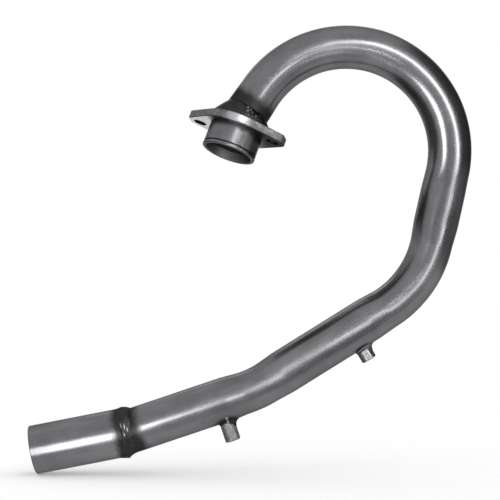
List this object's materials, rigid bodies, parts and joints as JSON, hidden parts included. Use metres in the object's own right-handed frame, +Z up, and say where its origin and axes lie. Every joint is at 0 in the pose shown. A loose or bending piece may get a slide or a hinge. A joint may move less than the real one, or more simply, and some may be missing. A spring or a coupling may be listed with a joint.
{
  "type": "motorcycle exhaust header",
  "caption": "Bent steel exhaust header tube with an eared head flange, a turned port collar, a straight outlet sleeve and welded heat shield bosses.",
  "frame": {"origin": "centre of the head flange's gasket face, where the header bolts to the cylinder head", "axes": "+Z up, +X towards the outside of the head bend, +Y across the plane of the tube's bends"},
  "size_m": [0.3166, 0.0535, 0.3206],
  "materials": {
    "tube_steel": "satin drawn steel, heat tinted beside the welds",
    "sleeve_steel": "satin drawn steel",
    "turned_steel": "bright turned steel",
    "plate_steel": "cut plate with worn edges",
    "weld_steel": "rippled bead with dark heat tint"
  },
  "bodies": {
    "root": {"header_pipe": "tube_steel", "port_collar": "turned_steel", "head_flange": "plate_steel", "flange_weld": "weld_steel", "outlet_sleeve": "sleeve_steel", "sleeve_weld": "weld_steel", "front_boss": "turned_steel", "front_boss_weld": "weld_steel", "rear_boss": "turned_steel", "rear_boss_weld": "weld_steel"}
  },
  "joints": []
}
